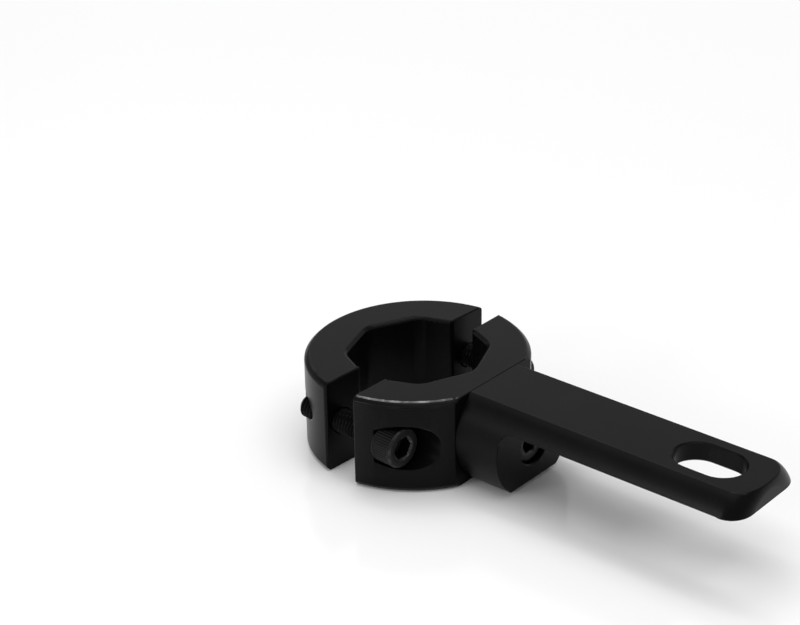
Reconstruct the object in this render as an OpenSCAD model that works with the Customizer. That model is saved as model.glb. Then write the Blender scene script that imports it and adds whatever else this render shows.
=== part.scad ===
// Clamp mount for a small lamp on a round frame tube.
// A split ring closes on the tube with two cap screws. An arm cut from round bar is
// bolted to the ring's flat seat and carries a slot for the lamp's stud.
// Millimetres. Z runs along the tube, z = 0 is the ring's lower end face, the origin is
// on the tube's axis. X runs out along the arm. The ring is split on the plane x = 0.

/* [Ring] */

// Outside diameter that each ring half is turned to.
ring_diameter = 46;
// [38:0.5:60]

// Width of the ring along the tube.
ring_width = 19.2;
// [16:0.1:26]

// Gap between the two halves' faces with the screws drawn up.
split_gap = 6;
// [3:0.5:9]

// How far the halves have closed in from one true circle.
closing = 2;
// [0:0.25:4]

// Bore of each half, across its flats, measured on its own circle.
bore_across_flats = 27.25;
// [22:0.25:32]

// Radius in the corners between the bore's flats.
bore_corner_radius = 4;
// [1:0.25:6]

// Chamfer round the ring's two outer rims.
rim_chamfer = 0.9;
// [0.4:0.1:1.5]

// Radius on the upright edges where the split faces meet the outside.
outer_edge_radius = 0.5;
// [0.3:0.1:2]

// Radius on the upright edges where the split faces meet the bore.
inner_edge_radius = 1.0;
// [0.5:0.1:2]

// Distance from the tube's axis to the flat seat for the arm.
seat_distance = 18.9;
// [16:0.1:24]

// Degrees that the outer half and its screws stand askew, one screw drawn up further.
askew = 2.8;
// [0:0.1:3]

/* [Clamp screws] */

// Distance of each clamp screw from the plane through the arm.
screw_offset = 18.3;
// [16:0.1:22]

// Thread size over the crests.
thread_diameter = 4.8;
// [4:0.1:6]

// Distance between thread crests.
thread_pitch = 0.79;
// [0.5:0.01:1.25]

// Diameter of a cap screw's head.
head_diameter = 7.9;
// [6.5:0.1:10]

// Height of a cap screw's head.
head_height = 4.8;
// [3.5:0.1:6]

// Hexagon socket, across its flats.
socket_flats = 4;
// [3:0.1:5]

// Depth of the hexagon socket.
socket_depth = 2.6;
// [1.5:0.1:3.5]

// Length of a clamp screw under its head.
clamp_screw_length = 21;
// [16:0.5:28]

// Diameter of the pocket that a clamp screw's head sits in.
pocket_diameter = 9.3;
// [8:0.1:12]

// Metal left between the pocket's floor and the split face.
pocket_floor = 4.2;
// [3:0.1:7]

/* [Arm] */

// Diameter of the bar that the arm is cut from.
bar_diameter = 23.2;
// [18:0.2:30]

// Distance from the tube's axis to the arm's tip.
arm_reach = 79.2;
// [60:0.2:110]

// Length of the full root block from the seat to the step.
block_length = 9.9;
// [8:0.1:16]

// Height of the root block's lower flat over the ring's lower face.
block_rise = 0.8;
// [0:0.1:2]

// Thickness of the arm beyond the root block.
arm_thickness = 3.85;
// [3:0.05:7]

// Radius in the corner under the arm.
step_radius = 2.3;
// [1:0.1:4]

// Radius turned on the bar's tip.
tip_radius = 4;
// [1:0.25:6]

// Width of the slot for the lamp's stud.
slot_width = 9.2;
// [6:0.1:11]

// Length of the slot from end to end.
slot_length = 13.6;
// [10:0.1:20]

// Distance from the tube's axis to the slot's middle.
slot_distance = 66.9;
// [50:0.1:95]

/* [Arm screw] */

// Height of the arm screw over the ring's lower face.
arm_screw_height = 8.4;
// [6:0.1:11]

// Length of the arm screw under its head.
arm_screw_length = 9.5;
// [8:0.5:14]

// Diameter of the arm screw's counterbore.
counterbore_diameter = 8.4;
// [7:0.1:10]

// How far the arm screw's head lies below the block's end face.
head_recess = 0.9;
// [0:0.1:2]

/* [Clearances] */

// Added to a screw's diameter where it passes through freely.
clearance_hole = 0.4;
// [0.2:0.1:1]

// Added to a screw's diameter where it is screwed in.
thread_clearance = 0.1;
// [0.06:0.01:0.3]

/* [Hidden] */

$fn = 96;

ring_radius = ring_diameter / 2;
shift = closing / 2;
face = split_gap / 2 + shift;
flat = bore_across_flats / 2;
mid = ring_width / 2;
bar_radius = bar_diameter / 2;
bar_height = (ring_width + block_rise) / 2;
step_x = seat_distance + block_length;
underside = ring_width - arm_thickness;
pocket_x = split_gap / 2 + pocket_floor;
counterbore_x = step_x - head_recess - head_height;
thread_depth = 0.6 * thread_pitch;
hole_radius = (thread_diameter + clearance_hole) / 2;
head_radius = head_diameter / 2;
pivot_x = (split_gap / 2 + pocket_x) / 2;
tapped_radius = (thread_diameter + thread_clearance) / 2;
black = [0.05, 0.05, 0.055];
steel = [0.09, 0.09, 0.095];

// The waste outside a rounded corner: what lies between the corner k and the circle of
// radius r about c, which touches the corner's two sides at p and q.
module corner_waste(c, p, q, k, r) {
    difference() {
        polygon([c, c + 1.4 * (p - c), c + 1.6 * (k - c), c + 1.4 * (q - c)]);
        translate(c) circle(r = r);
    }
}

// Eight flats with a radius in each corner, centred on the half's own circle.
module bore_outline() {
    tip = flat / cos(22.5);
    r = bore_corner_radius;
    c = tip - r / cos(22.5);
    difference() {
        circle(r = tip, $fn = 8);
        for (i = [0:7]) rotate(45 * i) difference() {
            polygon([[c, 0], [c + r * cos(22.5), r * sin(22.5)], [tip + 0.02, 0.04],
                     [tip + 0.02, -0.04], [c + r * cos(22.5), -r * sin(22.5)]]);
            translate([c, 0]) circle(r = r);
        }
    }
}

// Rounds the upright edge between the split face and the outside of the ring.
module outer_edge_waste() {
    r = outer_edge_radius;
    y = sqrt(pow(ring_radius - r, 2) - pow(face + r, 2));
    c = [face + r, y];
    u = c / norm(c);
    corner_waste(c, [face, y], c + r * u, [face, sqrt(pow(ring_radius, 2) - pow(face, 2))], r);
}

// Rounds the upright edge between the split face and the bore.
module inner_edge_waste() {
    r = inner_edge_radius;
    n = [cos(67.5), sin(67.5)];
    y = (flat + r - (face + r) * n[0]) / n[1];
    c = [face + r, y];
    corner_waste(c, [face, y], c - r * n, [face, (flat - face * n[0]) / n[1]], r);
}

// Half a ring on the plus x side of its own circle, with no holes.
module half_blank() {
    difference() {
        rotate_extrude() polygon([[0, 0], [ring_radius - rim_chamfer, 0], [ring_radius, rim_chamfer],
            [ring_radius, ring_width - rim_chamfer], [ring_radius - rim_chamfer, ring_width],
            [0, ring_width]]);
        translate([face - 2 * ring_radius, -ring_radius - 1, -1])
            cube([2 * ring_radius, ring_diameter + 2, ring_width + 2]);
        translate([0, 0, -1]) linear_extrude(ring_width + 2) {
            bore_outline();
            outer_edge_waste();
            inner_edge_waste();
            mirror([0, 1]) {
                outer_edge_waste();
                inner_edge_waste();
            }
        }
    }
}

// Cylinder along x from one x to another.
module bar_x(r, from, to, y, z) {
    translate([from, y, z]) rotate([0, 90, 0]) cylinder(h = to - from, r = r);
}

module arm_side_half() {
    color(black) difference() {
        translate([-shift, 0, 0]) half_blank();
        translate([seat_distance, -ring_radius, -1]) cube([ring_radius, ring_diameter, ring_width + 2]);
        for (side = [-1, 1]) {
            bar_x(hole_radius, 0, ring_radius, side * screw_offset, mid);
            bar_x(pocket_diameter / 2, pocket_x, ring_diameter, side * screw_offset, mid);
        }
        bar_x(tapped_radius, 0, ring_radius, 0, arm_screw_height);
    }
}

// Turns the outer half and its screws about an upright line midway along the clearance
// holes, where each screw stays in the middle of its hole.
module stand_askew() {
    translate([pivot_x, 0, 0]) rotate([0, 0, -askew]) translate([-pivot_x, 0, 0]) children();
}

module outer_half() {
    color(black) stand_askew() difference() {
        mirror([1, 0, 0]) translate([-shift, 0, 0]) half_blank();
        for (side = [-1, 1]) bar_x(tapped_radius, -ring_radius, 0, side * screw_offset, mid);
    }
}

// Outline of the turned bar from its axis, the tip's corner rounded.
module bar_outline(length) {
    square([bar_radius - tip_radius, length]);
    square([bar_radius, length - tip_radius]);
    translate([bar_radius - tip_radius, length - tip_radius]) circle(r = tip_radius);
}

// What is milled from under the arm, with the cutter's radius left at the step.
module underside_waste() {
    far = arm_reach + 10;
    difference() {
        translate([step_x, -bar_diameter, -5]) cube([far - step_x, 2 * bar_diameter, underside + 5]);
        difference() {
            translate([step_x - 1, -bar_diameter - 1, underside - step_radius])
                cube([step_radius + 1, 2 * bar_diameter + 2, step_radius + 1]);
            translate([step_x + step_radius, bar_diameter + 2, underside - step_radius])
                rotate([90, 0, 0]) cylinder(h = 2 * bar_diameter + 4, r = step_radius);
        }
    }
}

module slot_hole() {
    run = (slot_length - slot_width) / 2;
    for (end = [-1, 1]) translate([slot_distance + end * run, 0, -1])
        cylinder(h = ring_width + 2, r = slot_width / 2);
    translate([slot_distance - run, -slot_width / 2, -1])
        cube([2 * run, slot_width, ring_width + 2]);
}

module arm() {
    color(black) difference() {
        translate([seat_distance, 0, bar_height]) rotate([0, 90, 0])
            rotate_extrude() bar_outline(arm_reach - seat_distance);
        translate([0, -bar_diameter, ring_width]) cube([arm_reach + 10, 2 * bar_diameter, bar_diameter]);
        translate([0, -bar_diameter, block_rise - bar_diameter])
            cube([arm_reach + 10, 2 * bar_diameter, bar_diameter]);
        underside_waste();
        slot_hole();
        bar_x(hole_radius, 0, arm_reach, 0, arm_screw_height);
        bar_x(counterbore_diameter / 2, counterbore_x, step_x + 1, 0, arm_screw_height);
    }
}

// Outline of a screw from its axis: the head with its top edge broken, then
// the thread as crests at the stated pitch down to a chamfered end.
function crests(length) = floor((length - 1.2) / thread_pitch);
module screw_outline(length) {
    r = thread_diameter / 2;
    low = r - thread_depth;
    n = crests(length);
    top = 0.6;
    polygon(concat(
        [[0, head_height], [head_diameter / 2 - 0.5, head_height], [head_diameter / 2, head_height - 0.5],
         [head_diameter / 2, 0], [r, 0], [r, -top]],
        [for (i = [0:n - 1]) each [
            [low, -top - (i + 0.42) * thread_pitch], [low, -top - (i + 0.58) * thread_pitch],
            [r, -top - (i + 0.94) * thread_pitch], [r, -top - (i + 1) * thread_pitch]]],
        [[low, -length], [0, -length]]));
}

// A socket head cap screw along x, the underside of its head at x = 0.
module cap_screw(length) {
    rotate([0, 90, 0]) difference() {
        rotate_extrude() screw_outline(length);
        translate([0, 0, head_height - socket_depth])
            cylinder(h = socket_depth + 1, r = socket_flats / 2 / cos(30), $fn = 6);
    }
}

// Where a clamp screw's head comes to rest along its own axis, its lower edge on the
// pocket's floor.
function head_rest(side) = pivot_x
    + (pocket_x - pivot_x + (head_radius - side * screw_offset) * sin(askew)) / cos(askew);

module clamp_screw(side) {
    color(steel) stand_askew() translate([head_rest(side), side * screw_offset, mid])
        cap_screw(clamp_screw_length);
}

module clamp_screw_near() {
    clamp_screw(-1);
}

module clamp_screw_far() {
    clamp_screw(1);
}

module arm_screw() {
    color(steel) translate([counterbore_x, 0, arm_screw_height]) cap_screw(arm_screw_length);
}

arm_side_half();
outer_half();
arm();
clamp_screw_near();
clamp_screw_far();
arm_screw();
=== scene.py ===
"""Clamp mount for a small lamp on a round frame tube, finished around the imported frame.

Pieces are shaped in millimetres along the CAD axes (Z along the tube, X out along the
arm, the ring split on x = 0) and become metres when they are finished.
"""
import math

import bmesh
import bpy
from mathutils import Matrix, Vector


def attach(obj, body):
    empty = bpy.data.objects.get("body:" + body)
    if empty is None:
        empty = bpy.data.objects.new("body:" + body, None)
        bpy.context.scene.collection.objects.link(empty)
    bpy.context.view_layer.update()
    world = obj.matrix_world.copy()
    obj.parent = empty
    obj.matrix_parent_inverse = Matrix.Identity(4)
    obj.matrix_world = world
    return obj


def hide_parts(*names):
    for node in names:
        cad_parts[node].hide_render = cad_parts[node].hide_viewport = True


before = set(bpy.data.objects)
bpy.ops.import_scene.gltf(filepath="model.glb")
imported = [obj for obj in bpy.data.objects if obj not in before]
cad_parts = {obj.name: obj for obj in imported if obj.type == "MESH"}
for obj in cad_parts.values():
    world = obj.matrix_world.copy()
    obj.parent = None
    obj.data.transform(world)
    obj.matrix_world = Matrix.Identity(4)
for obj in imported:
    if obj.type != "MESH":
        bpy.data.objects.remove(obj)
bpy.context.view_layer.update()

MM = 0.001

# Ring, as the part's source has it.
RING_RADIUS = 23.0
RING_WIDTH = 19.2
SPLIT_FACE = 3.0
OWN_SHIFT = 1.0
BORE_FLAT = 13.625
BORE_CORNER = 4.0
RIM_CHAMFER = 0.9
RIM_SOFT = 0.26
OUTER_EDGE = 0.5
INNER_EDGE = 1.0
SEAT = 18.9
MID_HEIGHT = RING_WIDTH / 2
ASKEW = math.radians(2.8)

# Clamp screws and their pockets.
SCREW_OFFSET = 18.3
THREAD_RADIUS = 2.4
THREAD_PITCH = 0.79
HEAD_RADIUS = 3.95
HEAD_HEIGHT = 4.8
SOCKET_FLATS = 4.0
SOCKET_DEPTH = 2.6
CLAMP_SCREW_LENGTH = 21.0
POCKET_RADIUS = 4.65
POCKET_FLOOR = 7.2
CLEAR_RADIUS = 2.6
TAPPED_RADIUS = 2.45

# Arm and its screw.
BAR_RADIUS = 11.6
BAR_HEIGHT = 10.0
FLAT_RISE = 9.2
ARM_REACH = 79.2
STEP = 28.8
UNDERSIDE = 15.35
STEP_RADIUS = 2.3
TIP_RADIUS = 4.0
SLOT_WIDTH = 9.2
SLOT_LENGTH = 13.6
SLOT_PLACE = 66.9
ARM_SCREW_HEIGHT = 8.4
ARM_SCREW_LENGTH = 9.5
COUNTERBORE_RADIUS = 4.2
COUNTERBORE_FLOOR = 23.1

# Small edge breaks that a finishing cut and the tumbler leave.
EDGE_BREAK = 0.22
BORE_BREAK = 0.6
SEAT_BREAK = 0.13
MOUTH_BREAK = 0.22
TAPPED_MOUTH_BREAK = 0.25
COUNTERBORE_BREAK = 0.25
LEAD_IN = 0.3
MILLED_BREAK = 0.2
CORNER_SOFT = 0.35

# Half the angle between two neighbouring flats of the bore.
BORE_HALF_TURN = 22.5

# How far a cutter starts outside the face that it cuts, and how far it runs on past a floor.
OUTSIDE = 1.0
RUN_ON = 0.5

# Meshing: points closer than WELD are one point, faces thinner than SLIVER are none.
WELD = 1e-5
SLIVER = 1e-6


# Meshes

def new_piece(name, points, faces):
    """An object from points and faces, its faces turned outward."""
    mesh = bpy.data.meshes.new(name)
    mesh.from_pydata([tuple(p) for p in points], [], faces)
    shell = bmesh.new()
    shell.from_mesh(mesh)
    bmesh.ops.remove_doubles(shell, verts=shell.verts, dist=WELD)
    bmesh.ops.dissolve_degenerate(shell, edges=shell.edges, dist=SLIVER)
    bmesh.ops.recalc_face_normals(shell, faces=shell.faces)
    if shell.calc_volume(signed=True) < 0:
        bmesh.ops.reverse_faces(shell, faces=shell.faces)
    shell.to_mesh(mesh)
    shell.free()
    piece = bpy.data.objects.new(name, mesh)
    bpy.context.scene.collection.objects.link(piece)
    return piece


def settle(piece):
    """Turns a piece's modifiers into its plain mesh."""
    graph = bpy.context.evaluated_depsgraph_get()
    shaped = bpy.data.meshes.new_from_object(piece.evaluated_get(graph), depsgraph=graph)
    piece.modifiers.clear()
    rough = piece.data
    piece.data = shaped
    bpy.data.meshes.remove(rough)
    shaped.name = piece.name


def mill(piece, *cutters):
    """Cuts each cutter out of the piece, then clears the cutters away."""
    for cutter in cutters:
        cut = piece.modifiers.new(cutter.name, "BOOLEAN")
        cut.operation = "DIFFERENCE"
        cut.solver = "EXACT"
        cut.object = cutter
        settle(piece)
        bpy.data.objects.remove(cutter)


def loft(name, rings):
    """A closed solid through rings of the same count, with flat ends."""
    count = len(rings[0])
    points = [p for ring in rings for p in ring]
    faces = [list(range(count))[::-1],
             list(range((len(rings) - 1) * count, len(rings) * count))]
    for row in range(len(rings) - 1):
        for i in range(count):
            j = (i + 1) % count
            a, b = row * count, (row + 1) * count
            faces.append((a + i, a + j, b + j, b + i))
    return new_piece(name, points, faces)


def lathe_x(name, outline, y, z, count=64):
    """A solid of revolution along X. outline holds (x, radius) from end to end."""
    rings = []
    for x, radius in outline:
        rings.append([(x, y + radius * math.cos(a), z + radius * math.sin(a))
                      for a in steps(0, 2 * math.pi, count)[:-1]])
    return loft(name, rings)


def hole_mouth(face, inward, radius, lead=LEAD_IN):
    """(x, radius) of a hole's cutter where it enters a face, with a 45 degree lead-in.
    inward is 1 or -1, the direction along x in which the hole goes."""
    return [(face - inward * OUTSIDE, radius + (lead + OUTSIDE)),
            (face + inward * lead, radius)]


def steps(first, last, count):
    """count + 1 even values from first to last."""
    return [first + (last - first) * i / count for i in range(count + 1)]


def arc(x, y, radius, first, last, count):
    """Points on an arc, angles in degrees."""
    return [(x + radius * math.cos(math.radians(a)), y + radius * math.sin(math.radians(a)))
            for a in steps(first, last, count)]


def soften_corners(loop, radius, limit=20):
    """Rounds the corners of a closed 2D loop that turn by more than limit degrees."""
    soft = []
    count = len(loop)
    for i, corner in enumerate(loop):
        here = Vector(corner)
        back = Vector(loop[i - 1]) - here
        on = Vector(loop[(i + 1) % count]) - here
        turn = math.degrees((-back).angle(on))
        if turn < limit:
            soft.append(corner)
            continue
        reach = min(radius, 0.45 * back.length, 0.45 * on.length)
        start, end = here + back.normalized() * reach, here + on.normalized() * reach
        for t in steps(0, 1, 4):
            spot = start * (1 - t) ** 2 + here * 2 * t * (1 - t) + end * t ** 2
            soft.append((spot.x, spot.y))
    return soft


def finish_shading(piece, crease=28, flat_size=2.5, flat_crease=3):
    """Smooth shading that keeps real edges and the borders of big flats crisp."""
    shell = bmesh.new()
    shell.from_mesh(piece.data)
    for edge in shell.edges:
        if len(edge.link_faces) != 2:
            continue
        angle = math.degrees(edge.calc_face_angle(0))
        big = max(face.calc_area() for face in edge.link_faces)
        edge.smooth = not (angle > crease or (big > flat_size and angle > flat_crease))
    for face in shell.faces:
        face.smooth = True
    shell.to_mesh(piece.data)
    shell.free()


def mark_edges(piece, width=0.35, least_turn=9):
    """Marks the narrow edge breaks, the places that scuff, where the finish can also paint
    highlight lines.
    """
    shell = bmesh.new()
    shell.from_mesh(piece.data)
    rub_and_glint_marks = []
    for face in shell.faces:
        longest = max(face.edges, key=lambda edge: edge.calc_length())
        narrow = face.calc_area() / max(longest.calc_length(), 1e-6) < width
        turn = math.degrees(longest.calc_face_angle(0)) if longest.is_manifold else 0
        rub_and_glint_marks.append(1.0 if narrow and turn > least_turn else 0.0)
    shell.free()
    store_rub_and_glint(piece, rub_and_glint_marks)


def store_rub_and_glint(piece, rub_and_glint_marks):
    """Stores on each face its share of scuffing and painted glint, 0 to 1."""
    layer = piece.data.attributes.new("rub_and_glint", "FLOAT", "FACE")
    layer.data.foreach_set("value", rub_and_glint_marks)


def to_metres(piece):
    piece.data.transform(Matrix.Scale(MM, 4))
    piece.data.update()


# Ring halves

def half_outline(seat):
    """The plan of one half about its own circle, on the plus x side. seat is the own x of
    the flat seat, or None. Returns the points in order."""
    face = SPLIT_FACE + OWN_SHIFT
    edge_y = math.sqrt((RING_RADIUS - OUTER_EDGE) ** 2 - (face + OUTER_EDGE) ** 2)
    edge_angle = math.degrees(math.atan2(edge_y, face + OUTER_EDGE))
    slope = math.radians(90 - BORE_HALF_TURN)
    inner_y = ((BORE_FLAT + INNER_EDGE - (face + INNER_EDGE) * math.cos(slope))
               / math.sin(slope))
    corner = (BORE_FLAT - BORE_CORNER) / math.cos(math.radians(BORE_HALF_TURN))
    upper = []
    seat_ends = (9.2, 11.2)
    face_drops = (0.1, 0.2, 0.3, 0.4, 0.55)
    if seat:
        seat_angle = math.degrees(math.acos(seat / RING_RADIUS))
        upper += [(seat, y) for y in steps(*seat_ends, 8)]
        upper += arc(0, 0, RING_RADIUS, seat_angle, edge_angle, 44)
    else:
        upper += arc(0, 0, RING_RADIUS, 0, edge_angle, 66)
    upper += arc(face + OUTER_EDGE, edge_y, OUTER_EDGE, edge_angle, 180, 10)[1:]
    upper += [(face, edge_y - drop) for drop in face_drops]
    upper += arc(face + INNER_EDGE, inner_y, INNER_EDGE, 180, 270 - BORE_HALF_TURN, 8)
    for direction, end, count in ((45, BORE_HALF_TURN, 14), (0, 0, 7)):
        a = math.radians(direction)
        upper += arc(corner * math.cos(a), corner * math.sin(a), BORE_CORNER,
                     direction + BORE_HALF_TURN, end, count)
    lower = [(x, -y) for x, y in reversed(upper)]
    loop = upper + lower[1:]
    if not seat:
        loop = loop[:-1]
    return loop


def break_profile(size):
    """(inset, drop) pairs for one rim: a 45 degree break of that size with soft corners."""
    soft = min(RIM_SOFT, 0.35 * size)
    slant = soft * math.sqrt(0.5)
    low, high = Vector((0, size)), Vector((size, 0))
    points = []
    for start, corner, end in (
            (low + Vector((0, soft)), low, low + Vector((slant, -slant))),
            (high + Vector((-slant, slant)), high, high + Vector((soft, 0)))):
        points += [start, start * 0.25 + corner * 0.5 + end * 0.25, end]
    return [(p.x, p.y) for p in points]


def ring_half(name, side, seat=None):
    """One half: side 1 is the arm's half, -1 the outer half. Each point of the plan keeps
    its own edge break, which grows into the rim's chamfer on the turned outside."""
    loop = soften_corners(half_outline(seat), CORNER_SOFT)
    count = len(loop)
    face = SPLIT_FACE + OWN_SHIFT
    bore_reach = BORE_FLAT / math.cos(math.radians(BORE_HALF_TURN)) + 0.1
    rim = RING_RADIUS - RIM_CHAMFER - RIM_SOFT
    corner_x = face + EDGE_BREAK
    corner_y = math.sqrt(rim ** 2 - corner_x ** 2)
    plan = []
    for i, (x, y) in enumerate(loop):
        along = Vector(loop[(i + 1) % count]) - Vector(loop[i - 1])
        inward = Vector((-along.y, along.x)).normalized()
        turned = max(0.0, math.hypot(x, y) - (RING_RADIUS - RIM_CHAMFER))
        share = min(1.0, turned / RIM_CHAMFER)
        pull = (Vector((-x, -y)).normalized() * share + inward * (1 - share)).normalized()
        in_bore = math.hypot(x, y) < bore_reach
        at_seat = seat and x > seat - 0.02
        least = (BORE_BREAK if in_bore and x > face + 0.3
                 else SEAT_BREAK if at_seat else EDGE_BREAK)
        profile = break_profile(max(turned, least))
        reach = profile[-1][0]
        top = Vector((x, y)) + pull * reach
        # Where the rim's break would cross the split face's break, they meet in one point.
        near_corner = abs(top.y) > corner_y - 0.12 and top.x < corner_x + 0.6
        if x < face + 2 and near_corner:
            top = Vector((corner_x, math.copysign(corner_y, y)))
        plan.append(((x, y), ((top.x - x) / reach, (top.y - y) / reach), profile))

    def ring(layer, bottom):
        return [(x + dx * profile[layer][0], y + dy * profile[layer][0],
                 profile[layer][1] if bottom else RING_WIDTH - profile[layer][1])
                for (x, y), (dx, dy), profile in plan]
    layers = range(len(plan[0][2]))
    rings = ([ring(layer, True) for layer in reversed(layers)]
             + [ring(layer, False) for layer in layers])
    placed = [[(side * (x - OWN_SHIFT), y, z) for x, y, z in ring] for ring in rings]
    return loft(name, placed)


def wall_mouth(name, side, y, z, radius, floor, broken=MOUTH_BREAK, count=88):
    """A cutter along x from floor outward whose rim is broken where it leaves the turned
    wall. side says which half's wall it leaves through. The lifts of a few thousandths
    keep its rings off the wall's own faces."""
    def wall(spot):
        return side * (math.sqrt(max(0.0, RING_RADIUS ** 2 - spot ** 2)) - OWN_SHIFT)

    def level(angle, r, lift):
        x = wall(y + r * math.cos(angle)) + side * lift
        return max(floor, x) if side > 0 else min(floor, x)
    turns = steps(0, 2 * math.pi, count)[:-1]
    far = side * (RING_RADIUS + 9.0)

    def ring(r, spot):
        return [(spot(a), y + r * math.cos(a), z + r * math.sin(a)) for a in turns]
    return loft(name, [
        ring(radius, lambda a: floor),
        ring(radius, lambda a: level(a, radius, -broken) + side * 0.002),
        ring(radius + broken, lambda a: level(a, radius + broken, 0.0) + side * 0.006),
        ring(radius + broken, lambda a: far)])


def stand_askew(piece):
    """Turns a piece as the outer half stands, a little askew with its two screws."""
    pivot = Vector(((SPLIT_FACE + POCKET_FLOOR) / 2, 0, 0))
    piece.data.transform(Matrix.Translation(pivot) @ Matrix.Rotation(-ASKEW, 4, "Z")
                         @ Matrix.Translation(-pivot))


def head_rest(side):
    """Where a clamp screw's head comes to rest along its own axis, in its pocket."""
    pivot = (SPLIT_FACE + POCKET_FLOOR) / 2
    return pivot + (POCKET_FLOOR - pivot
                    + (HEAD_RADIUS - side * SCREW_OFFSET) * math.sin(ASKEW)) / math.cos(ASKEW)


def make_arm_side_half():
    half = ring_half("arm_side_half_turned", 1, SEAT + OWN_SHIFT)
    cutters = []
    for tag, y in (("near", -SCREW_OFFSET), ("far", SCREW_OFFSET)):
        cutters.append(wall_mouth("pocket_" + tag, 1, y, MID_HEIGHT, POCKET_RADIUS,
                                  POCKET_FLOOR))
        clearance = hole_mouth(SPLIT_FACE, 1, CLEAR_RADIUS)
        clearance.append((POCKET_FLOOR + RUN_ON, CLEAR_RADIUS))
        cutters.append(lathe_x("clearance_" + tag, clearance, y, MID_HEIGHT))
    in_the_bore = 5.0
    tapping = [(in_the_bore, TAPPED_RADIUS)] + hole_mouth(SEAT, -1, TAPPED_RADIUS)[::-1]
    cutters.append(lathe_x("arm_tapping", tapping, 0, ARM_SCREW_HEIGHT))
    mill(half, *cutters)
    return half


def make_outer_half():
    half = ring_half("outer_half_turned", -1)
    cutters = []
    for tag, y in (("near", -SCREW_OFFSET), ("far", SCREW_OFFSET)):
        cutters.append(wall_mouth("tapping_" + tag, -1, y, MID_HEIGHT, TAPPED_RADIUS,
                                  -SPLIT_FACE - LEAD_IN, TAPPED_MOUTH_BREAK, 64))
        lead = hole_mouth(-SPLIT_FACE, -1, TAPPED_RADIUS)
        lead.append((-SPLIT_FACE - LEAD_IN - RUN_ON, TAPPED_RADIUS))
        cutters.append(lathe_x("tapping_lead_" + tag, lead, y, MID_HEIGHT))
    mill(half, *cutters)
    stand_askew(half)
    return half


# Arm

FLAT_EDGE = math.degrees(math.acos(FLAT_RISE / BAR_RADIUS))
FLAT_EDGE_TURN = 0.25
FLAT_EDGE_DROP = 0.017


def bar_angles():
    """Angles in degrees from the vertical round the bar, closer at the edges of its two
    flats and clear of the line where the underside cut leaves the bar."""
    cut = math.degrees(math.acos((UNDERSIDE - BAR_HEIGHT) / BAR_RADIUS))
    clear = 1.4
    close = 0.4 * FLAT_EDGE_TURN
    quarter = steps(0, FLAT_EDGE - FLAT_EDGE_TURN, 9) + [FLAT_EDGE - close, FLAT_EDGE + close]
    quarter += steps(FLAT_EDGE + FLAT_EDGE_TURN, cut - clear, 11) + steps(cut + clear, 90, 13)
    half = quarter + [180 - a for a in reversed(quarter[:-1])]
    return half + [360 - a for a in reversed(half[1:-1])]


def bar_reach(angle):
    """How far the flatted bar stands from its axis at an angle from the vertical, with the
    flats' edges taken down a little."""
    upright = abs(math.cos(math.radians(angle)))
    plain = min(BAR_RADIUS, FLAT_RISE / max(upright, 1e-6))
    off = min(abs(angle % 180 - FLAT_EDGE), abs(angle % 180 - (180 - FLAT_EDGE)))
    return plain - FLAT_EDGE_DROP * max(0.0, 1 - off / FLAT_EDGE_TURN)


def bar_run(reach):
    """(x, radius) along the bar at one angle, from the seat over the tip to its end face."""
    drop = max(0.0, reach - (BAR_RADIUS - TIP_RADIUS))
    first = math.asin(min(1.0, drop / TIP_RADIUS))
    start = ARM_REACH - TIP_RADIUS + TIP_RADIUS * math.cos(first)
    run = [(SEAT, reach - SEAT_BREAK), (SEAT + SEAT_BREAK, reach),
           (start - 0.28, reach), (start - 0.06, reach - 0.015)]
    for a in steps(first, 0, 13)[1:-1]:
        run.append((ARM_REACH - TIP_RADIUS + TIP_RADIUS * math.cos(a),
                    BAR_RADIUS - TIP_RADIUS + TIP_RADIUS * math.sin(a)))
    run.append((ARM_REACH, BAR_RADIUS - TIP_RADIUS - 0.05))
    return run


def flatted_bar(name):
    """The turned bar with its two flats, before any milling."""
    angles = bar_angles()
    runs = [bar_run(bar_reach(angle)) for angle in angles]
    rings = []
    for row in zip(*runs):
        rings.append([(x, radius * math.sin(math.radians(angle)),
                       BAR_HEIGHT + radius * math.cos(math.radians(angle)))
                      for (x, radius), angle in zip(row, angles)])
    return loft(name, rings)


def underside_cutter():
    """What the mill takes away under the arm, with the fillet at the step."""
    below, past_tip, half_width = -6.0, ARM_REACH + 6, 16.0
    outline = [(STEP, below), (STEP, UNDERSIDE - STEP_RADIUS)]
    outline += [(STEP + STEP_RADIUS - STEP_RADIUS * math.cos(a),
                 UNDERSIDE - STEP_RADIUS + STEP_RADIUS * math.sin(a))
                for a in steps(0, math.pi / 2, 12)[1:]]
    outline += [(past_tip, UNDERSIDE), (past_tip, below)]
    return loft("underside_cutter", [[(x, y, z) for x, z in outline]
                                     for y in (-half_width, half_width)])


def slot_cutter():
    """The stud's slot, its rims broken at 45 degrees on both faces."""
    run = (SLOT_LENGTH - SLOT_WIDTH) / 2
    past = OUTSIDE - LEAD_IN
    rings = []
    for z, wider in ((UNDERSIDE - past, OUTSIDE), (UNDERSIDE + LEAD_IN, 0.0),
                     (RING_WIDTH - LEAD_IN, 0.0), (RING_WIDTH + past, OUTSIDE)):
        loop = (arc(SLOT_PLACE + run, 0, SLOT_WIDTH / 2 + wider, -90, 90, 30)
                + arc(SLOT_PLACE - run, 0, SLOT_WIDTH / 2 + wider, 90, 270, 30))
        rings.append([(x, y, z) for x, y in loop])
    return loft("slot_cutter", rings)


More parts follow.
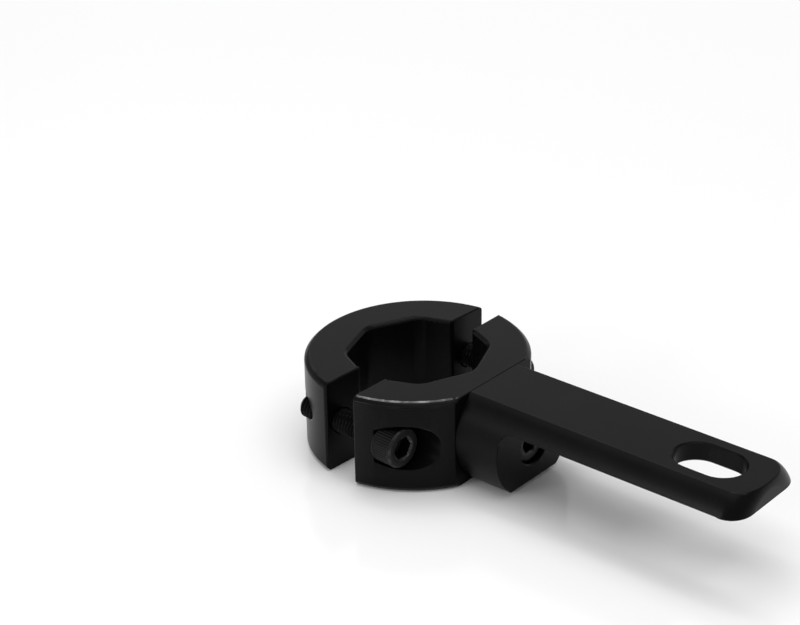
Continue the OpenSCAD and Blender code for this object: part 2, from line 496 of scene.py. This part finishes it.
def make_arm():
    """The flatted bar with its milled underside, slot, screw hole and counterbore."""
    bar = flatted_bar("arm_milled")
    hole = hole_mouth(SEAT, 1, CLEAR_RADIUS)
    hole.append((COUNTERBORE_FLOOR + RUN_ON, CLEAR_RADIUS))
    bore = [(COUNTERBORE_FLOOR, COUNTERBORE_RADIUS)]
    bore += hole_mouth(STEP, -1, COUNTERBORE_RADIUS, COUNTERBORE_BREAK)[::-1]
    mill(bar, underside_cutter(), slot_cutter(),
         lathe_x("arm_screw_hole", hole, 0, ARM_SCREW_HEIGHT),
         lathe_x("arm_counterbore", bore, 0, ARM_SCREW_HEIGHT, 88))
    break_milled_edges(bar)
    return bar


def break_milled_edges(bar, sharp=32, on_plane=0.01, clear=0.3):
    """Breaks the edges that the underside cut leaves, along the arm and round the block.
    It keeps clear of the step's fillet, the tip and the holes, whose edges are their own."""
    weights = bar.data.attributes.new("bevel_weight_edge", "FLOAT", "EDGE")
    shell = bmesh.new()
    shell.from_mesh(bar.data)
    picked = {}
    for edge in shell.edges:
        if len(edge.link_faces) != 2:
            continue
        turn = math.degrees(edge.calc_face_angle(0))
        middle = (edge.verts[0].co + edge.verts[1].co) / 2
        round_screw = (math.hypot(middle.y, middle.z - ARM_SCREW_HEIGHT)
                       < COUNTERBORE_RADIUS + 1.4)
        round_slot = (abs(middle.y) < SLOT_WIDTH / 2 + 0.5
                      and abs(middle.x - SLOT_PLACE) < SLOT_LENGTH / 2 + 0.5)
        on_end = (abs(middle.x - STEP) < on_plane
                  and middle.z < UNDERSIDE - STEP_RADIUS - clear)
        on_underside = (abs(middle.z - UNDERSIDE) < on_plane
                        and STEP + STEP_RADIUS < middle.x < ARM_REACH - TIP_RADIUS - clear)
        if turn > sharp and ((on_end and not round_screw)
                             or (on_underside and not round_slot)):
            picked[edge.index] = 1.0
    shell.free()
    for index, weight in picked.items():
        weights.data[index].value = weight
    broken = bar.modifiers.new("broken_edges", "BEVEL")
    broken.limit_method = "WEIGHT"
    broken.width = MILLED_BREAK
    broken.segments = 2
    broken.use_clamp_overlap = False
    settle(bar)


# Node trees

class Value:
    """A socket that carries a number. Operators on it add Math nodes."""

    def __init__(self, maker, socket):
        self.maker, self.socket = maker, socket

    def math(self, operation, *others, swap=False):
        """A Math node on this value and the others, or the other way round."""
        sides = [self, *others]
        if swap:
            sides.reverse()
        node = self.maker.node("ShaderNodeMath", {"operation": operation},
                               dict(enumerate(sides)))
        return Value(self.maker, node.outputs[0])

    def __add__(self, other):
        return self.math("ADD", other)

    def __radd__(self, other):
        return self.math("ADD", other, swap=True)

    def __sub__(self, other):
        return self.math("SUBTRACT", other)

    def __rsub__(self, other):
        return self.math("SUBTRACT", other, swap=True)

    def __mul__(self, other):
        return self.math("MULTIPLY", other)

    def __rmul__(self, other):
        return self.math("MULTIPLY", other, swap=True)

    def __truediv__(self, other):
        return self.math("DIVIDE", other)

    def __rtruediv__(self, other):
        return self.math("DIVIDE", other, swap=True)

    def __abs__(self):
        return self.math("ABSOLUTE")

    def clamped(self):
        return self.math("MAXIMUM", 0.0).math("MINIMUM", 1.0)

    def between(self, low, high):
        """0 below low, 1 above high, a straight ramp between."""
        return ((self - low) / (high - low)).clamped()


class Maker:
    """Adds nodes to one tree."""

    def __init__(self, tree):
        self.tree = tree

    def node(self, kind, settings=None, sockets=None):
        """A node of that kind: settings first, then its sockets' values or links."""
        made = self.tree.nodes.new(kind)
        for key, value in (settings or {}).items():
            setattr(made, key, value)
        for key, value in (sockets or {}).items():
            socket = made.inputs[key]
            if isinstance(value, Value):
                value = value.socket
            if isinstance(value, bpy.types.NodeSocket):
                self.tree.links.new(value, socket)
            else:
                socket.default_value = value
        return made

    def value(self, node, output=0):
        return Value(self, node.outputs[output])

    def split(self, vector):
        apart = self.node("ShaderNodeSeparateXYZ", None, {0: vector})
        return [self.value(apart, i) for i in range(3)]

    def joined(self, x, y, z):
        return self.node("ShaderNodeCombineXYZ", None, {0: x, 1: y, 2: z}).outputs[0]

    def noise(self, vector, scale, detail=2.0, roughness=0.5):
        made = self.node("ShaderNodeTexNoise", None, {
            "Vector": vector, "Scale": scale, "Detail": detail, "Roughness": roughness})
        return self.value(made, "Fac")

    def mixed(self, share, first, second):
        """A colour between two, by share. Each is three numbers or a socket."""
        first, second = [(*colour, 1.0) if isinstance(colour, tuple) else colour
                         for colour in (first, second)]
        made = self.node("ShaderNodeMix", {"data_type": "RGBA"},
                         {0: share, 6: first, 7: second})
        return made.outputs[2]


# Screws

SCREW_SIZES = {
    "Shank Radius": THREAD_RADIUS, "Thread Pitch": THREAD_PITCH, "Thread Depth": 0.47,
    "Thread Top": -0.35, "Thread End": -20.65, "Head Radius": HEAD_RADIUS,
    "Knurl Foot": 0.45, "Knurl Top": HEAD_HEIGHT - 0.55, "Knurl Depth": 0.11,
    "Knurl Teeth": 48.0}
THREAD_CREST = 0.16
THREAD_ROOT = 0.84


def screw_shaping():
    """The node tree that cuts a helical thread on a plain shank and a straight knurl
    round the head. The screw stands on Z with the head's underside at z = 0."""
    tree = bpy.data.node_groups.new("cap_screw_shaping", "GeometryNodeTree")
    face = tree.interface
    face.new_socket("Geometry", in_out="INPUT", socket_type="NodeSocketGeometry")
    for title, start in SCREW_SIZES.items():
        size = face.new_socket(title, in_out="INPUT", socket_type="NodeSocketFloat")
        size.default_value = start
    face.new_socket("Finish", in_out="INPUT", socket_type="NodeSocketMaterial")
    face.new_socket("Geometry", in_out="OUTPUT", socket_type="NodeSocketGeometry")
    make = Maker(tree)
    source = make.node("NodeGroupInput")
    given = {socket.name: Value(make, socket) for socket in source.outputs if socket.name}
    x, y, z = make.split(make.node("GeometryNodeInputPosition").outputs[0])
    radius = (x * x + y * y).math("SQRT").math("MAXIMUM", 0.0001)
    turn = y.math("ARCTAN2", x) / (2 * math.pi)

    climb = z / given["Thread Pitch"] + turn
    wave = abs(climb.math("FRACT") * 2.0 - 1.0)
    groove = 1.0 - wave.between(THREAD_CREST, THREAD_ROOT)
    run_in = (given["Thread Top"] - z).between(0.0, 0.5)
    run_out = (z - given["Thread End"]).between(0.0, 0.6)
    on_shank = radius.math("GREATER_THAN", given["Shank Radius"] * 0.93)
    below = z.math("LESS_THAN", -0.01)
    thread = groove * run_in * run_out * on_shank * below * given["Thread Depth"]

    tooth = abs((turn * given["Knurl Teeth"]).math("FRACT") * 2.0 - 1.0)
    knurl_low = (z - given["Knurl Foot"]).between(0.0, 0.15)
    knurl_high = (given["Knurl Top"] - z).between(0.0, 0.15)
    on_head = radius.math("GREATER_THAN", given["Head Radius"] * 0.97)
    knurl = tooth * knurl_low * knurl_high * on_head * given["Knurl Depth"]

    kept = 1.0 - (thread + knurl) / radius
    moved = make.node("GeometryNodeSetPosition", None, {
        "Geometry": given["Geometry"], "Position": make.joined(x * kept, y * kept, z)})
    real = make.node("GeometryNodeRealizeInstances", None, {0: moved.outputs[0]})
    done = make.node("GeometryNodeSetMaterial", None, {
        "Geometry": real.outputs[0], "Material": given["Finish"]})
    make.node("NodeGroupOutput", None, {0: done.outputs[0]})
    return tree


def hex_reach(angle, flats):
    """Distance from a hexagon's middle to its side at an angle."""
    sector = (math.degrees(angle) + 30) % 60 - 30
    return flats / 2 / math.cos(math.radians(sector))


def make_cap_screw(name, length, place, finish, tree, count=192):
    """A socket head cap screw: a plain blank from socket floor to tip, then the tree."""
    turns = steps(0, 2 * math.pi, count)[:-1]
    rings = []

    def ring(z, radius):
        rings.append([(radius * math.cos(a), radius * math.sin(a), z) for a in turns])

    def hexagon(z, flats, round_share=0.0, rim=0.0):
        """A ring that is a hexagon at round_share 0 and a circle of radius rim at 1."""
        row = []
        for a in turns:
            r = hex_reach(a, flats) * (1 - round_share) + rim * round_share
            row.append((r * math.cos(a), r * math.sin(a), z))
        rings.append(row)
    floor = HEAD_HEIGHT - SOCKET_DEPTH
    drill_point = floor - 0.55
    rim = SOCKET_FLATS / 2 / math.cos(math.radians(30)) + 0.1
    for radius, z in ((0.35, drill_point + 0.06), (1.0, drill_point + 0.27),
                      (1.85, floor - 0.02)):
        ring(z, radius)
    hexagon(floor, SOCKET_FLATS - 0.02)
    hexagon(floor + 0.08, SOCKET_FLATS)
    hexagon(HEAD_HEIGHT - 0.32, SOCKET_FLATS)
    hexagon(HEAD_HEIGHT - 0.12, SOCKET_FLATS + 0.1, 0.5, rim)
    hexagon(HEAD_HEIGHT - 0.03, SOCKET_FLATS + 0.1, 1.0, rim)
    ring(HEAD_HEIGHT, rim + 0.06)
    crown = 0.45
    for a in steps(90, 0, 8):
        ring(HEAD_HEIGHT - crown + crown * math.sin(math.radians(a)),
             HEAD_RADIUS - crown + crown * math.cos(math.radians(a)))
    knurl_foot, knurl_top = SCREW_SIZES["Knurl Foot"], SCREW_SIZES["Knurl Top"]
    for z in (knurl_top - 0.02, knurl_top - 0.16, knurl_foot + 0.16, knurl_foot + 0.02,
              0.3):
        ring(z, HEAD_RADIUS)
    ring(0.06, HEAD_RADIUS - 0.09)
    ring(0.0, HEAD_RADIUS - 0.25)
    ring(0.0, THREAD_RADIUS + 0.12)
    ring(-0.04, THREAD_RADIUS + 0.03)
    ring(-0.12, THREAD_RADIUS)
    rows_a_turn = 9
    thread_rows = int((length - 0.9) / (THREAD_PITCH / rows_a_turn))
    for z in steps(-0.3, -length + 0.55, thread_rows):
        ring(z, THREAD_RADIUS)
    ring(-length + 0.06, THREAD_RADIUS - 0.5)
    ring(-length, THREAD_RADIUS - 0.62)
    blank = loft(name, rings)

    shaping = blank.modifiers.new("shaping", "NODES")
    shaping.node_group = tree
    sizes = {**SCREW_SIZES, "Thread End": -length + 0.35, "Finish": finish}
    for socket in tree.interface.items_tree:
        if socket.in_out == "INPUT" and socket.name in sizes:
            shaping[socket.identifier] = sizes[socket.name]
    settle(blank)
    # The socket's rim gets a full mark and the crown a third of one; the finish turns them into
    # a painted glint over some real scuffing.
    rub_and_glint_marks = []
    for face in blank.data.polygons:
        radius = math.hypot(face.center.x, face.center.y)
        near_top = HEAD_HEIGHT - face.center.z
        socket_rim = radius < rim + 0.1 and near_top < 0.3
        on_crown = radius > HEAD_RADIUS - 0.35 and near_top < 0.36
        rub_and_glint_marks.append(1.0 if socket_rim else 0.35 if on_crown else 0.0)
    store_rub_and_glint(blank, rub_and_glint_marks)
    turn_to_x = Matrix(((0, 0, 1, 0), (0, 1, 0, 0), (-1, 0, 0, 0), (0, 0, 0, 1)))
    blank.data.transform(Matrix.Translation(place) @ turn_to_x)
    return blank


# Finishes

# Where the table fades to white, in metres from the middle of the piece along x.
PIECE_MIDDLE = 0.02
FADE_START = 0.09
FADE_END = 0.42
FADE_SHARE = 0.9


def finish_base(name):
    """A material with one Principled shader on its output."""
    material = bpy.data.materials.new(name)
    material.use_nodes = True
    tree = material.node_tree
    tree.nodes.clear()
    make = Maker(tree)
    shader = make.node("ShaderNodeBsdfPrincipled")
    make.node("ShaderNodeOutputMaterial", None, {"Surface": shader.outputs[0]})
    return material, make, shader


def link(make, shader, **sockets):
    """Links values or sockets to the shader's inputs of those names."""
    names = {"colour": "Base Color", "roughness": "Roughness", "normal": "Normal",
             "metal": "Metallic"}
    for key, value in sockets.items():
        target = shader.inputs[names[key]]
        source = value.socket if isinstance(value, Value) else value
        make.tree.links.new(source, target)


def rub_and_glint_share(make):
    """How much the face under a point is marked for scuffing and painted glint."""
    marked = make.node("ShaderNodeAttribute", {"attribute_name": "rub_and_glint"})
    return make.value(marked, "Fac")


def tool_lines(make, along_x, along_y, along_z):
    """Fine lines from a tool, drawn out along the direction that is least stretched."""
    return make.noise(make.joined(along_x, along_y, along_z), 1.0, 2.5, 0.6)


def black_anodised(name, centre, lines_along_x, edge_wear_and_highlight):
    """Satin black anodised aluminium with fine tool lines: rings about Z on the ring's
    halves, lines along X on the arm's flats and rings round the turned bar. Its scuffed
    edges show a little metal; on the near part of the ring's top rim they are made light and
    partly metallic, a painted highlight line that is only in part real scuffing."""
    material, make, shader = finish_base(name)
    place = make.node("ShaderNodeTexCoord")
    spot = place.outputs["Object"]
    x, y, z = make.split(spot)
    fine, drawn_out = 5200.0, 60.0
    if lines_along_x:
        level = abs(make.split(place.outputs["Normal"])[2]).between(0.9, 0.97)
        flat_lines = tool_lines(make, x * drawn_out, y * fine, z * 900.0)
        turned_lines = tool_lines(make, x * fine, y * drawn_out, z * drawn_out)
        lines = flat_lines * level + turned_lines * (1.0 - level)
    else:
        across = x - centre
        radius = (across * across + y * y).math("SQRT")
        lines = tool_lines(make, radius * fine, y.math("ARCTAN2", across) * 0.9, z * fine)
    cloud = make.noise(spot, 95.0, 3.0, 0.55)
    broad = make.noise(spot, 32.0, 2.0, 0.5)
    fleck = make.noise(spot, 9000.0, 1.0, 0.6)
    rub_and_glint = rub_and_glint_share(make)
    patchy = make.noise(spot, 420.0, 3.0, 0.6).between(0.42, 0.62)
    # Where the edge marks are made light: the near part of the top rim only, which paints a
    # highlight line there.
    off_axis = (x * x + y * y).math("SQRT")
    on_rim = off_axis.between(0.0190, 0.0205) * z.between(0.0184, 0.0189)
    near_side = (0.004 - y).between(0.0, 0.006)
    off_seat = ((SEAT - 0.3) * MM - x).between(0.0, 0.0001)
    painted_highlight_rim = on_rim * near_side * off_seat
    # Faint scuffing on every marked edge, raised on the near top rim to a light, partly metallic
    # painted highlight line.
    wear_and_highlight = rub_and_glint * (0.4 + patchy * 0.6) * (0.04 + painted_highlight_rim * 0.96) * edge_wear_and_highlight

    dark, soft, lined = (0.0012, 0.0012, 0.0014), (0.0026, 0.0026, 0.003), (0.005, 0.005, 0.0054)
    # The light metal tone of the edge marks, which paints the highlight line on the near top
    # rim.
    bare_highlight_tone = (0.14, 0.14, 0.145)
    tone = make.mixed(cloud.between(0.3, 0.7), dark, soft)
    tone = make.mixed(lines.between(0.45, 0.8) * 0.35, tone, lined)
    link(make, shader, colour=make.mixed(wear_and_highlight, tone, bare_highlight_tone))
    roughness = (0.20 + lines * 0.06 + cloud * 0.05 + broad * 0.05 + fleck * 0.04
                 - rub_and_glint * 0.05)
    link(make, shader, roughness=roughness)
    bump = make.node("ShaderNodeBump", None, {
        "Strength": 0.16, "Distance": 0.00004, "Height": lines * 0.6 + fleck * 0.4})
    link(make, shader, normal=bump.outputs[0])
    link(make, shader, metal=wear_and_highlight * 0.7)
    shader.inputs["IOR"].default_value = 1.19
    return material


def black_oxide(name):
    """Black oxide on steel: a little greyer than the aluminium. The end faces that look along
    plus x are painted lighter, as if lit, and the socket's rim and the crown carry light, partly
    metallic marks, a painted glint over some real scuffing."""
    material, make, shader = finish_base(name)
    place = make.node("ShaderNodeTexCoord")
    spot, facing = place.outputs["Object"], place.outputs["Normal"]
    mottle = make.noise(spot, 900.0, 3.0, 0.6)
    grain = make.noise(spot, 7000.0, 2.0, 0.6)
    # A light, partly metallic mark on the socket's rim and the crown: a painted glint over some
    # real scuffing.
    wear_and_highlight = rub_and_glint_share(make) * (0.3 + mottle.between(0.45, 0.62) * 0.7)
    # The third tone is painted onto the end faces that look along plus x, a painted highlight as
    # if they caught the light.
    dark, soft, turned = (0.0012, 0.0012, 0.0014), (0.003, 0.003, 0.0029), (0.017, 0.017, 0.017)
    bare_highlight_tone = (0.17, 0.17, 0.168)
    lit_end_face = make.split(facing)[0].between(0.80, 0.97)
    tone = make.mixed(mottle.between(0.3, 0.7), dark, soft)
    tone = make.mixed(lit_end_face * 0.8, tone, turned)
    link(make, shader, colour=make.mixed(wear_and_highlight * 0.6, tone, bare_highlight_tone))
    link(make, shader, metal=wear_and_highlight * 0.7)
    link(make, shader, roughness=0.30 + mottle * 0.12 + grain * 0.06 - wear_and_highlight * 0.08)
    bump = make.node("ShaderNodeBump", None, {"Strength": 0.2, "Distance": 0.00003,
                                              "Height": mottle * 0.5 + grain * 0.5})
    link(make, shader, normal=bump.outputs[0])
    shader.inputs["IOR"].default_value = 1.22
    return material


def pale_table(name):
    """A pale, slightly glossy table top that fades to plain white away from the piece."""
    material, make, shader = finish_base(name)
    spot = make.node("ShaderNodeTexCoord").outputs["Object"]
    drift = make.noise(spot, 3.0, 2.0, 0.5)
    link(make, shader, colour=make.mixed(drift, (0.93, 0.93, 0.93), (0.945, 0.943, 0.94)))
    link(make, shader, roughness=0.07 + drift * 0.04)
    shader.inputs["IOR"].default_value = 1.45
    x, y, _ = make.split(spot)
    along = x - PIECE_MIDDLE
    away = (along * along + y * y).math("SQRT")
    rays = make.node("ShaderNodeLightPath")
    seen = (make.value(rays, "Is Camera Ray") + make.value(rays, "Is Glossy Ray")
            + make.value(rays, "Is Transmission Ray")).clamped()
    white = make.node("ShaderNodeEmission", None, {"Color": (1.0, 1.0, 1.0, 1.0),
                                                   "Strength": 1.0})
    fade = seen * away.between(FADE_START, FADE_END) * FADE_SHARE
    faded = make.node("ShaderNodeMixShader", None, {
        0: fade, 1: shader.outputs[0], 2: white.outputs[0]})
    out = next(node for node in make.tree.nodes if node.type == "OUTPUT_MATERIAL")
    make.tree.links.new(faded.outputs[0], out.inputs["Surface"])
    return material


# The piece list

arm_side_half = make_arm_side_half()
outer_half = make_outer_half()
arm = make_arm()

# The last number scales the edge marks: full on the arm-side half, whose near top rim carries
# the painted highlight line, and small on the outer half and the arm, whose edges are kept dark.
ring_finish_arm_side = black_anodised("black_anodised_arm_side", -OWN_SHIFT * MM, False,
                                      1.0)
ring_finish_outer = black_anodised("black_anodised_outer", OWN_SHIFT * MM, False, 0.12)
arm_finish = black_anodised("black_anodised_arm", 0.0, True, 0.03)
screw_finish = black_oxide("black_oxide_screws")

shaping_tree = screw_shaping()
clamp_screws = {}
for tag, side in (("near", -1), ("far", 1)):
    clamp_screws[tag] = make_cap_screw(
        "clamp_screw_" + tag + "_threaded", CLAMP_SCREW_LENGTH,
        (head_rest(side), side * SCREW_OFFSET, MID_HEIGHT), screw_finish, shaping_tree)
    stand_askew(clamp_screws[tag])
arm_screw = make_cap_screw("arm_screw_threaded", ARM_SCREW_LENGTH,
                           (COUNTERBORE_FLOOR, 0, ARM_SCREW_HEIGHT), screw_finish,
                           shaping_tree)

for piece, finish, node, slot in (
        (arm_side_half, ring_finish_arm_side, "arm_side_half", "black_aluminium"),
        (outer_half, ring_finish_outer, "outer_half", "black_aluminium"),
        (arm, arm_finish, "arm", "black_aluminium"),
        (clamp_screws["near"], screw_finish, "clamp_screw_near", "black_steel"),
        (clamp_screws["far"], screw_finish, "clamp_screw_far", "black_steel"),
        (arm_screw, screw_finish, "arm_screw", "black_steel")):
    finish_shading(piece)
    if slot == "black_aluminium":
        mark_edges(piece)
    piece.data.materials.clear()
    piece.data.materials.append(finish)
    to_metres(piece)
    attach(piece, "root")
    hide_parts(node)

# Table, light, camera

TABLE_HALF = 3.0
floor = new_piece("table_top", [(-TABLE_HALF, -TABLE_HALF, 0), (TABLE_HALF, -TABLE_HALF, 0),
                                (TABLE_HALF, TABLE_HALF, 0), (-TABLE_HALF, TABLE_HALF, 0)],
                  [(0, 1, 2, 3)])
floor.data.materials.append(pale_table("pale_table"))


def softbox(name, place, aim, width, height, radiance, along=(1, 0, 0)):
    """An area lamp of that size in metres whose face has that radiance. along is the
    direction that its width runs in."""
    lamp = bpy.data.lights.new(name, "AREA")
    lamp.shape = "RECTANGLE"
    lamp.size, lamp.size_y = width, height
    lamp.energy = radiance * width * height * math.pi
    holder = bpy.data.objects.new(name, lamp)
    facing = (Vector(place) - Vector(aim)).normalized()
    wide = Vector(along)
    wide = (wide - facing * wide.dot(facing)).normalized()
    tall = facing.cross(wide)
    holder.matrix_world = Matrix((
        (wide.x, tall.x, facing.x, place[0]), (wide.y, tall.y, facing.y, place[1]),
        (wide.z, tall.z, facing.z, place[2]), (0, 0, 0, 1)))
    bpy.context.scene.collection.objects.link(holder)


NEAR_RIM = (0.01, -0.018, 0.019)
ARM_NEAR_SIDE = (0.075, -0.01, 0.017)
softbox("overhead_softbox", place=(-0.08, 0.0, 1.0), aim=(PIECE_MIDDLE, 0, 0.01),
        width=1.3, height=1.15, radiance=1.55)
softbox("far_right_strip", place=(0.50, 0.07, 0.81), aim=(0.0, 0, 0.01),
        width=0.32, height=0.11, radiance=3.5, along=(0, 1, 0))
softbox("edge_strip", place=(-0.23, 0.17, 0.79), aim=NEAR_RIM,
        width=0.42, height=0.10, radiance=4.8, along=(0.38, 0.12, 0.085))
softbox("low_front_lamp", place=(-0.140, -0.515, 0.242), aim=ARM_NEAR_SIDE,
        width=0.17, height=0.085, radiance=9.0, along=(0.9, -0.4, 0))

world = bpy.data.worlds.new("studio")
bpy.context.scene.world = world
world.use_nodes = True
sky = Maker(world.node_tree)
bearing = sky.split(sky.node("ShaderNodeTexCoord").outputs["Generated"])


def patch(x, y, z, outside, inside):
    """A soft patch of the room round a direction: 1 where the cosine is over inside, 0
    where it is under outside."""
    return (bearing[0] * x + bearing[1] * y + bearing[2] * z).between(outside, inside)


lighter_beyond = patch(-0.656, 0.755, 0.0, 0.2, 0.8) * 0.16
lighter_low_left = patch(-0.69, -0.62, 0.375, 0.86, 0.97) * 0.8
dark_over_arm = patch(-0.64, -0.196, 0.743, 0.87, 0.95) * 0.92
dark_beside_ring = patch(-0.93, 0.37, 0.0, 0.90, 0.98) * 0.9
tone = ((0.50 + lighter_beyond + lighter_low_left)
        * (1.0 - dark_over_arm) * (1.0 - dark_beside_ring))
room = world.node_tree.nodes["Background"]
world.node_tree.links.new(sky.mixed(tone, (0.0, 0.0, 0.0), (1.0, 1.0, 1.0)),
                          room.inputs["Color"])
room.inputs["Strength"].default_value = 1.0

# The camera's own axes and place, solved from the ring's and the arm's outlines.
right = Vector((0.75956, 0.650285, -0.014047))
up = Vector((-0.278322, 0.344459, 0.896596))
back = Vector((0.587882, -0.677109, 0.442626))
standpoint = Vector((0.219185, -0.257463, 0.194018))
lens = bpy.data.cameras.new("camera")
lens.sensor_fit = "HORIZONTAL"
lens.sensor_width = 36.0
lens.lens = 87.811
lens.clip_start = 0.01
camera = bpy.data.objects.new("camera", lens)
camera.matrix_world = Matrix((
    (right.x, up.x, back.x, standpoint.x), (right.y, up.y, back.y, standpoint.y),
    (right.z, up.z, back.z, standpoint.z), (0, 0, 0, 1)))
bpy.context.scene.collection.objects.link(camera)
bpy.context.scene.camera = camera
bpy.context.scene.view_settings.view_transform = "Standard"
